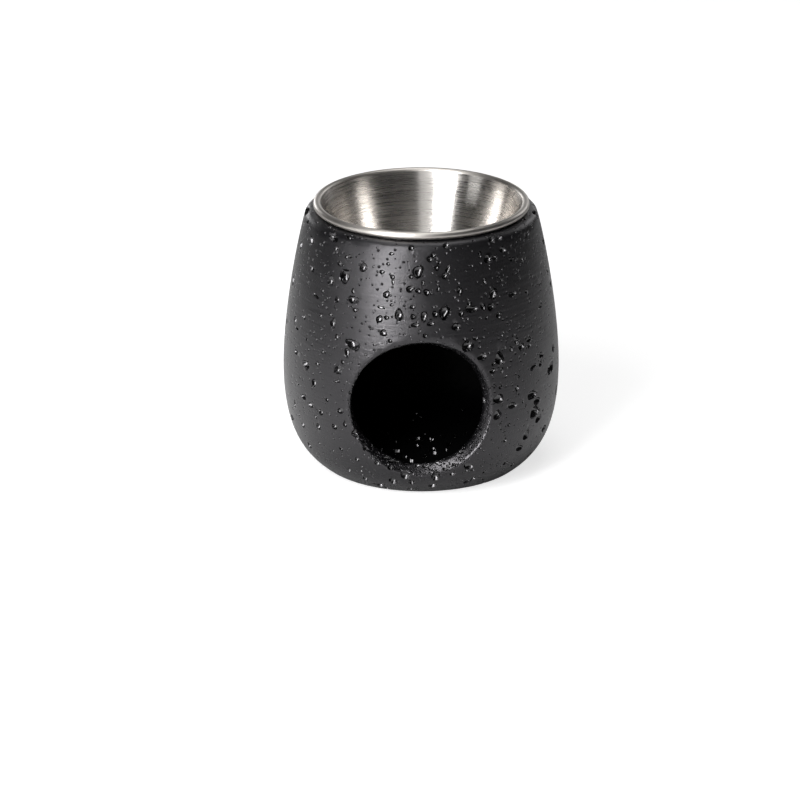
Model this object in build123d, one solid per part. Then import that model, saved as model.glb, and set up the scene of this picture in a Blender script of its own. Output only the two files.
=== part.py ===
from build123d import *

import os
from math import cos, hypot, radians, sin, sqrt, tan

# Essential oil burner: a thick black ceramic jar with a round mouth in its front for a
# tea light, and a loose brushed steel dish that hangs in its top and lifts straight out.
# The origin is the middle of the foot, on the table. The mouth looks along -Y.

# Ceramic jar, outside
body_height = 95.8
belly_radius = 50.0
belly_height = 36.1
foot_radius = 35.8
rim_radius = 41.2
foot_flare = 53.3      # degrees from upright, where the wall leaves the foot
shoulder_lean = 16.9   # degrees from upright, where the wall reaches the rim
rim_rounding = 2.3
foot_rounding = 1.0

# How far the outer wall runs straight on from its ends, as shares of each stretch's height
foot_pull_share = 0.218
lower_belly_pull_share = 0.687
upper_belly_pull_share = 0.353
shoulder_pull_share = 0.163

# Ceramic jar, inside
wall = 6.0
floor_thickness = 8.0
floor_corner_radius = 5.0
rim_width = 4.8
rim_inner_rounding = 0.6
foot_ring_width = 6.0
foot_recess_depth = 1.5
foot_ring_rounding = 0.5

# Where along the outer wall the inner wall is set out from it, as shares of each stretch
wall_step_shares = (0.25, 0.5, 0.75, 1.0)

# Round mouth in the front: a round throat that slants going in, flared out to the outer face
throat_radius = 22.5
throat_slant = 14.0    # degrees from the Y axis, towards -X going in
mouth_sill = 5.9       # from the chamber's floor up to the throat
mouth_flare = 2.4      # along the outer face
mouth_flare_depth = 4.4
mouth_outer_rounding = 0.8
mouth_inner_rounding = 0.8

# Main pits in the outer wall, each a round bowl
main_pit_radius = 2.2
pit_depth_share = 0.7  # of the pit's own radius

# Places of the main pits: degrees round from the mouth towards +X, how far up the stretch of
# wall from its lower end, and the radius as a share of the main pit radius
lower_pit_shares = (
    (-74, 0.60, 0.8), (-66, 0.80, 0.5), (-60, 0.42, 0.6), (-57, 0.92, 0.52), (-52, 0.86, 0.48),
    (-48, 0.70, 0.5), (-38, 0.76, 0.5), (-30, 0.28, 0.6), (40, 0.94, 0.64), (48, 0.48, 0.66),
    (51, 0.61, 0.78), (52, 0.93, 0.86), (55, 0.80, 1.0), (58, 0.70, 0.62), (63, 0.29, 0.5),
    (67, 0.55, 0.7), (79, 0.83, 0.6), (98, 0.80, 0.6), (106, 0.50, 0.9), (116, 0.86, 0.7),
    (127, 0.66, 0.5), (134, 0.38, 0.8), (144, 0.78, 0.9), (155, 0.55, 0.6), (165, 0.86, 0.8),
    (172, 0.42, 0.7), (183, 0.70, 0.9), (193, 0.30, 0.5), (202, 0.82, 0.6), (211, 0.58, 0.8),
    (222, 0.88, 0.7), (230, 0.45, 0.6), (241, 0.74, 0.9), (250, 0.35, 0.7), (259, 0.64, 0.5),
)
upper_pit_shares = (
    (-83, 0.31, 0.6), (-80, 0.58, 0.7), (-78, 0.81, 0.62), (-69, 0.38, 0.57), (-66, 0.88, 0.78),
    (-65, 0.20, 0.5), (-56, 0.16, 0.78), (-50, 0.08, 0.6), (-45, 0.71, 0.68), (-41, 0.47, 0.65),
    (-37, 0.76, 0.95), (-36, 0.20, 0.7), (-31, 0.64, 0.72), (-30, 0.37, 0.92), (-28, 0.84, 0.66),
    (-18, 0.55, 0.55), (-16, 0.70, 0.55), (-16, 0.47, 0.55), (-10, 0.58, 0.75), (-5, 0.74, 0.56),
    (-2, 0.84, 0.86), (1, 0.58, 0.65), (10, 0.60, 0.92), (11, 0.81, 0.5), (15, 0.51, 0.64),
    (17, 0.72, 0.54), (22, 0.60, 0.72), (32, 0.59, 0.62), (33, 0.88, 0.72), (34, 0.67, 0.8),
    (34, 0.28, 0.9), (42, 0.91, 0.5), (44, 0.64, 0.55), (44, 0.36, 0.52), (47, 0.31, 0.55),
    (52, 0.33, 0.48), (54, 0.16, 0.6), (60, 0.20, 0.5), (70, 0.09, 0.74), (73, 0.19, 0.58),
    (82, 0.55, 0.6), (84, 0.81, 0.8), (99, 0.74, 0.7), (103, 0.42, 0.9), (108, 0.60, 0.5),
    (113, 0.86, 0.6), (118, 0.22, 0.8), (124, 0.68, 1.0), (131, 0.45, 0.6), (137, 0.90, 0.7),
    (141, 0.12, 0.6), (146, 0.57, 0.8), (152, 0.33, 0.9), (158, 0.76, 0.6), (163, 0.18, 0.5),
    (168, 0.64, 0.9), (174, 0.88, 0.8), (179, 0.40, 0.6), (185, 0.25, 0.9), (190, 0.71, 0.7),
    (195, 0.52, 0.5), (201, 0.84, 0.9), (206, 0.14, 0.7), (212, 0.61, 0.8), (217, 0.36, 0.6),
    (223, 0.79, 0.5), (229, 0.49, 0.9), (235, 0.20, 0.6), (240, 0.69, 0.8), (246, 0.90, 0.6),
    (251, 0.43, 0.7), (257, 0.62, 0.9), (262, 0.28, 0.6),
)

# Steel dish, one sheet with its lip rolled outwards
sheet = 0.6
lip_bead_radius = 1.37
lip_curl = 250.0       # degrees that the rolled lip turns through
lip_inset = 1.0        # from the edge of the jar's opening to the middle of the rolled lip
dish_wall_lean = 17.0  # degrees from upright
dish_depth = 33.0      # from the top of the lip to the oil side of the bottom
dish_corner_radius = 17.0

# Fits and helpers
seat_clearance = 0.25  # between the lip and the rim it rests on
overrun = 5.0          # how far cutting shapes run past what they cut
same_place = 0.05      # two places closer than this are taken as one

# Places that both pieces share
rim_opening_radius = rim_radius - rim_width
mouth_height = floor_thickness + mouth_sill + throat_radius
lip_middle = Vector(rim_opening_radius + lip_inset, 0, body_height + seat_clearance + lip_bead_radius)


def upward(degrees_from_upright, length):
    """A step of this length that climbs, and leans away from the axis."""
    lean = radians(degrees_from_upright)
    return Vector(length * sin(lean), 0, length * cos(lean))


def lower_wall():
    """Outer wall from the foot to the belly."""
    foot = Vector(foot_radius, 0, 0)
    belly = Vector(belly_radius, 0, belly_height)
    return Bezier(
        foot,
        foot + upward(foot_flare, foot_pull_share * belly_height),
        belly - upward(0, lower_belly_pull_share * belly_height),
        belly,
    )


def upper_wall():
    """Outer wall from the belly to the rim."""
    rise = body_height - belly_height
    belly = Vector(belly_radius, 0, belly_height)
    rim = Vector(rim_radius, 0, body_height)
    return Bezier(
        belly,
        belly + upward(0, upper_belly_pull_share * rise),
        rim - upward(-shoulder_lean, shoulder_pull_share * rise),
        rim,
    )


def inner_wall():
    """The outer wall moved inwards by the wall's thickness."""
    lower = lower_wall()
    upper = upper_wall()
    spots = [(lower, 0.0)]
    spots += [(lower, share) for share in wall_step_shares]
    spots += [(upper, share) for share in wall_step_shares]
    points = []
    for curve, share in spots:
        along = curve % share
        points.append((curve @ share) + Vector(-along.Z, 0, along.X) * wall)
    return Spline(*points)


def spun(*edges):
    """The solid that a closed outline in the XZ plane makes when it turns about Z."""
    return revolve(make_face(edges), Axis.Z)


def upright_cylinder(radius, height, base):
    """A cylinder about Z that stands on this height."""
    shape = Cylinder(radius, height, align=(Align.CENTER, Align.CENTER, Align.MIN))
    return Pos(0, 0, base) * shape


def rings_at(solid, radius, height):
    """The round edges about Z with this radius and height."""
    rings = solid.edges().filter_by(GeomType.CIRCLE)
    return [
        ring
        for ring in rings
        if abs(ring.radius - radius) < same_place and abs(ring.center().Z - height) < same_place
    ]


def jar_blank():
    """The jar's outer shape, solid through, with its foot and rim rounded."""
    foot = (0, 0, 0)
    top = (0, 0, body_height)
    lower = lower_wall()
    upper = upper_wall()
    blank = spun(Line(foot, lower @ 0), lower, upper, Line(upper @ 1, top), Line(top, foot))
    blank = fillet(rings_at(blank, rim_radius, body_height), rim_rounding)
    return fillet(rings_at(blank, foot_radius, 0), foot_rounding)


def throat():
    """A cylinder that goes in through the front wall as far as the jar's middle.

    Its slanting axis crosses the YZ plane as deep as the mouth's two sides lie.
    """
    side_depth = sqrt(belly_radius**2 - (throat_radius + mouth_flare) ** 2)
    before = belly_radius + overrun - side_depth
    cylinder = Cylinder(throat_radius, before + side_depth, align=(Align.CENTER, Align.CENTER, Align.MIN))
    inwards = Rot(-90, 0, 0) * Rot(0, 0, 90) * cylinder
    return Pos(0, -side_depth, mouth_height) * Rot(0, 0, throat_slant) * Pos(0, -before, 0) * inwards


def throat_face(solid):
    """The face of the throat in this solid."""
    round_faces = solid.faces().filter_by(GeomType.CYLINDER)
    return [face for face in round_faces if abs(face.radius - throat_radius) < same_place][0]


def from_mouth_axis(edge):
    """How far the middle of this edge lies from the middle of the mouth, seen along Y."""
    middle = edge @ 0.5
    return hypot(middle.X, middle.Z - mouth_height)


def with_flared_mouth(blank):
    """The blank with the throat cut in, flared to the outer face and eased there."""
    cut = blank - throat()
    face = throat_face(cut)
    rim_edges = [edge for edge in face.edges() if edge.geom_type == GeomType.BSPLINE]
    cut = chamfer(rim_edges, mouth_flare_depth, mouth_flare, reference=face)
    low = throat_radius + mouth_flare / 2
    high = throat_radius + mouth_flare * 2
    outline = [edge for edge in cut.edges() if low + same_place < from_mouth_axis(edge) < high]
    outline = [edge for edge in outline if edge.center().Y < 0 and edge.length > mouth_flare * 2]
    return fillet(outline, mouth_outer_rounding)


def chamber():
    """The hollow inside the jar, from its floor up through the opening in its rim."""
    wall_line = inner_wall()
    low = wall_line @ 0
    high = wall_line @ 1
    base = (0, 0, low.Z)
    cap = (0, 0, high.Z)
    hollow = spun(Line(base, low), wall_line, Line(high, cap), Line(cap, base))
    hollow -= upright_cylinder(belly_radius, floor_thickness, 0)
    corner = hollow.edges().filter_by(GeomType.CIRCLE).sort_by(Axis.Z)[0]
    hollow = fillet(corner, floor_corner_radius)
    neck_base = high.Z - wall
    neck_height = body_height + overrun - neck_base
    return hollow + upright_cylinder(rim_opening_radius, neck_height, neck_base)


def with_eased_throat(body):
    """The body with the throat's inner edge eased."""
    edges = [edge for edge in throat_face(body).edges() if edge.geom_type == GeomType.BSPLINE]
    inner_edge = sorted(edges, key=lambda edge: edge.center().Y)[-1]
    return fillet(inner_edge, mouth_inner_rounding)


def pit_ball(curve, around, climb_share, radius_share):
    """The ball that leaves a pit in this stretch of the outer wall."""
    radius = main_pit_radius * radius_share
    depth = radius * pit_depth_share
    ball_radius = (radius**2 + depth**2) / (depth * 2)
    along = curve % climb_share
    outward = Vector(along.Z, 0, -along.X)
    middle = (curve @ climb_share) + outward * (ball_radius - depth)
    place = Plane(origin=middle, x_dir=outward, z_dir=along)
    return Rot(0, 0, around - 90) * (place * Sphere(ball_radius))


def main_pits():
    """A ball for each main pit."""
    lower = [pit_ball(lower_wall(), *row) for row in lower_pit_shares]
    upper = [pit_ball(upper_wall(), *row) for row in upper_pit_shares]
    return lower + upper


def ceramic_body():
    """The jar: walls, floor, foot ring, rim and mouth in one fired piece."""
    body = with_flared_mouth(jar_blank()) - chamber()
    body = with_eased_throat(body)
    body = fillet(rings_at(body, rim_opening_radius, body_height), rim_inner_rounding)
    recess_radius = foot_radius - foot_ring_width
    body -= upright_cylinder(recess_radius, foot_recess_depth + overrun, -overrun)
    body = fillet(rings_at(body, recess_radius, 0), foot_ring_rounding)
    return body - main_pits()


def dish_side(depth):
    """One side of the dish's sheet, from the axis to the end of the rolled lip.

    A depth of zero gives the side that holds the oil, and the sheet's thickness the back.
    """
    lean = radians(dish_wall_lean)
    to_outside = Vector(cos(lean), 0, -sin(lean))
    bottom = lip_middle.Z + lip_bead_radius - dish_depth
    # The oil side's wall touches the lip's circle above and the corner's circle below
    wall_top = lip_middle - to_outside * lip_bead_radius
    drop = wall_top.Z - bottom - dish_corner_radius * (1 - sin(lean))
    wall_foot = wall_top - Vector(drop * tan(lean), 0, drop)
    corner_middle = wall_foot - to_outside * dish_corner_radius
    corner = dish_corner_radius + depth
    bead = lip_bead_radius - depth

    def on_corner(turn):
        return corner_middle + Vector(sin(turn), 0, -cos(turn)) * corner

    def on_lip(turn):
        angle = radians(180 - dish_wall_lean - turn)
        return lip_middle + Vector(cos(angle), 0, sin(angle)) * bead

    full_corner = radians(90) - lean
    floor_end = on_corner(0)
    return [
        Line((0, 0, floor_end.Z), floor_end),
        ThreePointArc(floor_end, on_corner(full_corner / 2), on_corner(full_corner)),
        Line(on_corner(full_corner), on_lip(0)),
        ThreePointArc(on_lip(0), on_lip(lip_curl / 2), on_lip(lip_curl)),
    ]


def oil_dish():
    """The dish, with a flat bottom, a leaning wall and a rolled lip."""
    oil_side = dish_side(0)
    back_side = dish_side(sheet)
    middle = Line(oil_side[0] @ 0, back_side[0] @ 0)
    sheet_end = Line(oil_side[-1] @ 1, back_side[-1] @ 1)
    return spun(middle, *oil_side, sheet_end, *back_side)


os.makedirs("parts", exist_ok=True)
pieces = {"ceramic_body": ceramic_body(), "oil_dish": oil_dish()}
for name, piece in pieces.items():
    export_step(piece, f"parts/{name}.step")
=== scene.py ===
# Essential oil burner: a pitted black ceramic jar and a loose brushed steel dish
import bpy
import math
from collections import namedtuple
import numpy as np
from mathutils import Matrix, Vector, kdtree, noise


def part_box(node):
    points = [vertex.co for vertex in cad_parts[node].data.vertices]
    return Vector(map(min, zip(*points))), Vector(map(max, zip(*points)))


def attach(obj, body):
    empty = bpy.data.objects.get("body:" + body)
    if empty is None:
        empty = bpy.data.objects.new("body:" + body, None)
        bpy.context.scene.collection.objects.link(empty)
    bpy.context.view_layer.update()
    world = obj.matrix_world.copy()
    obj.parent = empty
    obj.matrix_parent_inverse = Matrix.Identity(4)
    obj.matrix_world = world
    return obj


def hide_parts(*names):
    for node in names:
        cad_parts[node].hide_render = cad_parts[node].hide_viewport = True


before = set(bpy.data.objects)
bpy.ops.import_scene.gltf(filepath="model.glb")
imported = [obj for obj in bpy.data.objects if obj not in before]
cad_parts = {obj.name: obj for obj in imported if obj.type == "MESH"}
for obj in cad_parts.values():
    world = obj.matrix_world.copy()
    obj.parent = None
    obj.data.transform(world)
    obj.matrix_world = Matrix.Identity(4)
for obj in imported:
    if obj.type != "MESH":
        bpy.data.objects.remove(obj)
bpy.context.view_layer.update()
mm = 0.001
weldReach = 0.001 * mm      # points closer than this are merged
nearZero = 1e-9
print("frame loaded")


# Camera, placed as the photograph's: long lens, a little above the rim

photo = dict(
    width=800,              # pixels, as high as wide
    distance=1500 * mm,
    elevation=20.04,        # degrees above the horizon
    focalPixels=4134,
    lookHeight=45 * mm,     # the point on the jar's axis that the next two are given for
    lookRight=422.5,        # pixels from the left edge
    lookDown=340.1,         # pixels from the top edge
    sensor=36.0,
    clips=(0.05, 50.0),     # metres off, where the view begins and ends
)


def placeCamera():
    camera = bpy.data.objects.new("photoCamera", bpy.data.cameras.new("photoCamera"))
    bpy.context.scene.collection.objects.link(camera)
    bpy.context.scene.camera = camera
    camera.data.sensor_width = photo["sensor"]
    camera.data.lens = photo["sensor"] * photo["focalPixels"] / photo["width"]
    camera.data.clip_start, camera.data.clip_end = photo["clips"]
    tilt = math.radians(photo["elevation"])
    look = Vector((0, 0, photo["lookHeight"]))
    place = look + Vector((0, -math.cos(tilt), math.sin(tilt))) * photo["distance"]
    middle = photo["width"] / 2
    aside = math.atan((photo["lookRight"] - middle) / photo["focalPixels"])
    above = math.atan((middle - photo["lookDown"]) / photo["focalPixels"])
    pitch = Matrix.Rotation(math.pi / 2 - tilt - above, 4, "X")
    yaw = Matrix.Rotation(aside, 4, "Z")
    camera.matrix_world = Matrix.Translation(place) @ yaw @ pitch
    return camera


camera = placeCamera()
bpy.context.view_layer.update()


# Small helpers

def deselectAll():
    if bpy.context.object and bpy.context.object.mode != "OBJECT":
        bpy.ops.object.mode_set(mode="OBJECT")
    bpy.ops.object.select_all(action="DESELECT")


def makeActive(piece):
    deselectAll()
    piece.select_set(True)
    bpy.context.view_layer.objects.active = piece


def applyModifiers(piece):
    makeActive(piece)
    for modifier in list(piece.modifiers):
        bpy.ops.object.modifier_apply(modifier=modifier.name)


def readPoints(piece):
    points = np.empty(len(piece.data.vertices) * 3)
    piece.data.vertices.foreach_get("co", points)
    return points.reshape(-1, 3)


def writePoints(piece, points):
    piece.data.vertices.foreach_set("co", np.ascontiguousarray(points).ravel())
    piece.data.update()


def lathe(name, outline, steps):  # outline is (radius, height) points, from axis to axis
    deselectAll()
    bpy.ops.mesh.primitive_plane_add(size=mm, location=(outline[0][0], 0, outline[0][1]))
    piece = bpy.context.object
    piece.name = piece.data.name = name
    bpy.ops.object.transform_apply(location=True)
    bpy.ops.object.mode_set(mode="EDIT")
    bpy.ops.mesh.select_all(action="SELECT")
    bpy.ops.mesh.merge(type="CENTER")
    for here, there in zip(outline, outline[1:]):
        step = (there[0] - here[0], 0, there[1] - here[1])
        bpy.ops.mesh.extrude_region_move(TRANSFORM_OT_translate={"value": step})
    bpy.ops.mesh.select_all(action="SELECT")
    bpy.ops.mesh.spin(steps=steps, angle=math.tau, center=(0, 0, 0), axis=(0, 0, 1))
    bpy.ops.mesh.select_all(action="SELECT")
    bpy.ops.mesh.remove_doubles(threshold=weldReach)
    bpy.ops.mesh.normals_make_consistent(inside=False)
    bpy.ops.object.mode_set(mode="OBJECT")
    return piece


def arcPoints(middle, radius, start, end, count):  # degrees, from the +X side towards +Z
    turns = np.radians(np.linspace(start, end, count))
    return [(middle[0] + radius * math.cos(t), middle[1] + radius * math.sin(t)) for t in turns]


# The jar's form, as in the CAD model

jarLow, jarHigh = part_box("ceramic_body")
jar = dict(
    height=jarHigh[2],
    bellyRadius=jarHigh[0],
    bellyHeight=36.1 * mm,
    footRadius=35.8 * mm,
    rimRadius=41.2 * mm,
    footFlare=53.3,         # degrees from upright
    shoulderLean=16.9,      # degrees from upright
    pulls=(0.218, 0.687, 0.353, 0.163),
    wall=6.0 * mm,
    openingRadius=36.4 * mm,
    rimRounding=2.3 * mm,
    rimInnerRounding=0.6 * mm,
    floor=8.0 * mm,
    floorCorner=5.0 * mm,
    footRounding=1.0 * mm,
    recessRadius=29.8 * mm,
    recessDepth=1.5 * mm,
    recessRounding=0.5 * mm,
    mouthHeight=36.4 * mm,
    mouthSide=43.3 * mm,    # how far in front of the middle the mouth's two sides lie
    throatRadius=23.0 * mm,
    throatSlant=0.27,       # to -X for each step in
    mouthFlare=2.1 * mm,
    mouthFlareDepth=4.4 * mm,
    mouthFlareMost=1.5,     # times the flare, off the skin
    mouthDip=1.3 * mm,      # how much farther the flare reaches at the mouth's lowest point
    mouthDipPower=1.5,      # by which the dip grows towards that point
    mouthRounding=1.1 * mm,
    throatRounding=0.8 * mm,
    cutEdgeShare=0.75,      # of mouthRounding, where the finish of the mouth's cut ends
    cutFade=0.5 * mm,
    cutFront=0.6,           # share of openingRadius in front of which the cut lies
    turnSteps=160,          # of the rough jar, whose faces are then made even
    outsideSteps=34,
    insideSteps=30,
    mouthSteps=96,
    skinStep=2.4 * mm,      # size of the even faces before the pits are pressed in
    smoothAngle=50,         # degrees
)


def bezierRow(a, b, c, d, count=400):
    t = np.linspace(0, 1, count)[:, None]
    a, b, c, d = (np.array(p) for p in (a, b, c, d))
    return (1 - t) ** 3 * a + 3 * t * (1 - t) ** 2 * b + 3 * t * t * (1 - t) * c + t ** 3 * d


def wallRows():  # outer and inner wall as rows of radius, height and the wall's cosine
    flare, lean = math.radians(jar["footFlare"]), math.radians(jar["shoulderLean"])
    low, rise = jar["bellyHeight"], jar["height"] - jar["bellyHeight"]
    pulls = jar["pulls"]
    foot = np.array((jar["footRadius"], 0))
    belly = np.array((jar["bellyRadius"], low))
    rim = np.array((jar["rimRadius"], jar["height"]))
    footEnd = foot + pulls[0] * low * np.array((math.sin(flare), math.cos(flare)))
    rimEnd = rim + pulls[3] * rise * np.array((math.sin(lean), -math.cos(lean)))
    up = np.array((0, 1))
    lower = bezierRow(foot, footEnd, belly - pulls[1] * low * up, belly)
    upper = bezierRow(belly, belly + pulls[2] * rise * up, rimEnd, rim)
    outer = np.vstack((lower, upper[1:]))
    along = np.gradient(outer, axis=0)
    along /= np.hypot(along[:, 0], along[:, 1])[:, None]
    outward = np.column_stack((along[:, 1], -along[:, 0]))
    inner = outer - jar["wall"] * outward
    return np.column_stack((outer, along[:, 1])), np.column_stack((inner, along[:, 1]))


outerWall, innerWall = wallRows()


def onWall(wall, height, column=0):
    return np.interp(height, wall[:, 1], wall[:, column])


def innerRadius(height):  # the neck keeps the opening's width where the wall would narrow it
    radius = onWall(innerWall, height)
    return np.where(height > jar["bellyHeight"], np.maximum(radius, jar["openingRadius"]), radius)


def roundMax(a, b, radius):  # the higher of two distances, rounded where they are equal
    flat = np.minimum(np.maximum(a, b), -radius)
    return flat + np.hypot(np.maximum(a + radius, 0), np.maximum(b + radius, 0))


def offThroat(points):  # how far off the throat's slanting axis, seen along Y
    x, y, z = points.T
    return np.hypot(x + jar["throatSlant"] * (y + jar["mouthSide"]), z - jar["mouthHeight"])


def mouthFlareAt(points):
    drop = np.clip((jar["mouthHeight"] - points[:, 2]) / jar["throatRadius"], 0, 1)
    return jar["mouthFlare"] + jar["mouthDip"] * drop ** jar["mouthDipPower"]


def jarDistance(points):  # below zero in the ceramic, zero on its skin, above zero off it
    x, y, z = points.T
    radius = np.hypot(x, y)
    wall = (radius - onWall(outerWall, z)) * onWall(outerWall, z, 2)
    shape = roundMax(wall, z - jar["height"], jar["rimRounding"])
    shape = roundMax(shape, -z, jar["footRounding"])
    narrowing = np.clip(1 + wall / jar["mouthFlareDepth"], 0, jar["mouthFlareMost"])
    mouth = offThroat(points) - jar["throatRadius"] - mouthFlareAt(points) * narrowing
    mouth = np.where(y < 0, mouth, jar["height"])
    shape = roundMax(shape, -mouth, jar["mouthRounding"])
    hollow = (radius - innerRadius(z)) * onWall(innerWall, z, 2)
    hollow = roundMax(hollow, jar["floor"] - z, jar["floorCorner"])
    inNeck = z > jar["height"] / 2 + jar["throatRadius"]
    easing = np.where(inNeck, jar["rimInnerRounding"], jar["throatRounding"])
    shape = roundMax(shape, -hollow, easing)
    recess = np.maximum(radius - jar["recessRadius"], z - jar["recessDepth"])
    return roundMax(shape, -recess, jar["recessRounding"])


def jarNormals(points, reach=0.02 * mm):
    slopes = [jarDistance(points + reach * side) - jarDistance(points - reach * side) for side in np.eye(3)]
    slopes = np.column_stack(slopes) / (2 * reach)
    return slopes / np.maximum(np.linalg.norm(slopes, axis=1), nearZero)[:, None]


def settleOnJar(points, rounds=6):  # moves points onto the jar's skin
    for _ in range(rounds):
        points = points - jarNormals(points) * jarDistance(points)[:, None]
    return points


def throwJar():
    heights = np.linspace(jar["height"], 0, jar["outsideSteps"])
    inside = [(0, jar["floor"]), (jar["openingRadius"] - jar["floorCorner"], jar["floor"])]
    rise = np.linspace(jar["floor"] + jar["floorCorner"], jar["height"], jar["insideSteps"])
    inside += [(float(innerRadius(np.array(z))), z) for z in rise]
    outside = [(float(onWall(outerWall, z)), z) for z in heights]
    recess = [(jar["recessRadius"], 0), (jar["recessRadius"], jar["recessDepth"]), (0, jar["recessDepth"])]
    piece = lathe("pittedJar", inside + outside + recess, jar["turnSteps"])
    deselectAll()
    bpy.ops.mesh.primitive_cylinder_add(
        vertices=jar["mouthSteps"],
        radius=jar["throatRadius"] + jar["mouthFlare"] / 2,
        depth=jar["bellyRadius"],
        location=(0, -jar["bellyRadius"], jar["mouthHeight"]),
        rotation=(math.pi / 2, 0, 0),
    )
    punch = bpy.context.object
    cut = piece.modifiers.new("mouth", "BOOLEAN")
    cut.object = punch
    applyModifiers(piece)
    bpy.data.objects.remove(punch)
    piece.data.remesh_voxel_size = jar["skinStep"]
    bpy.ops.object.voxel_remesh()
    writePoints(piece, settleOnJar(readPoints(piece)))
    return piece


jarPiece = throwJar()
print("jar thrown:", len(jarPiece.data.polygons), "faces")


# Pits: the larger ones where the photograph shows them, the rest scattered by chance

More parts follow.
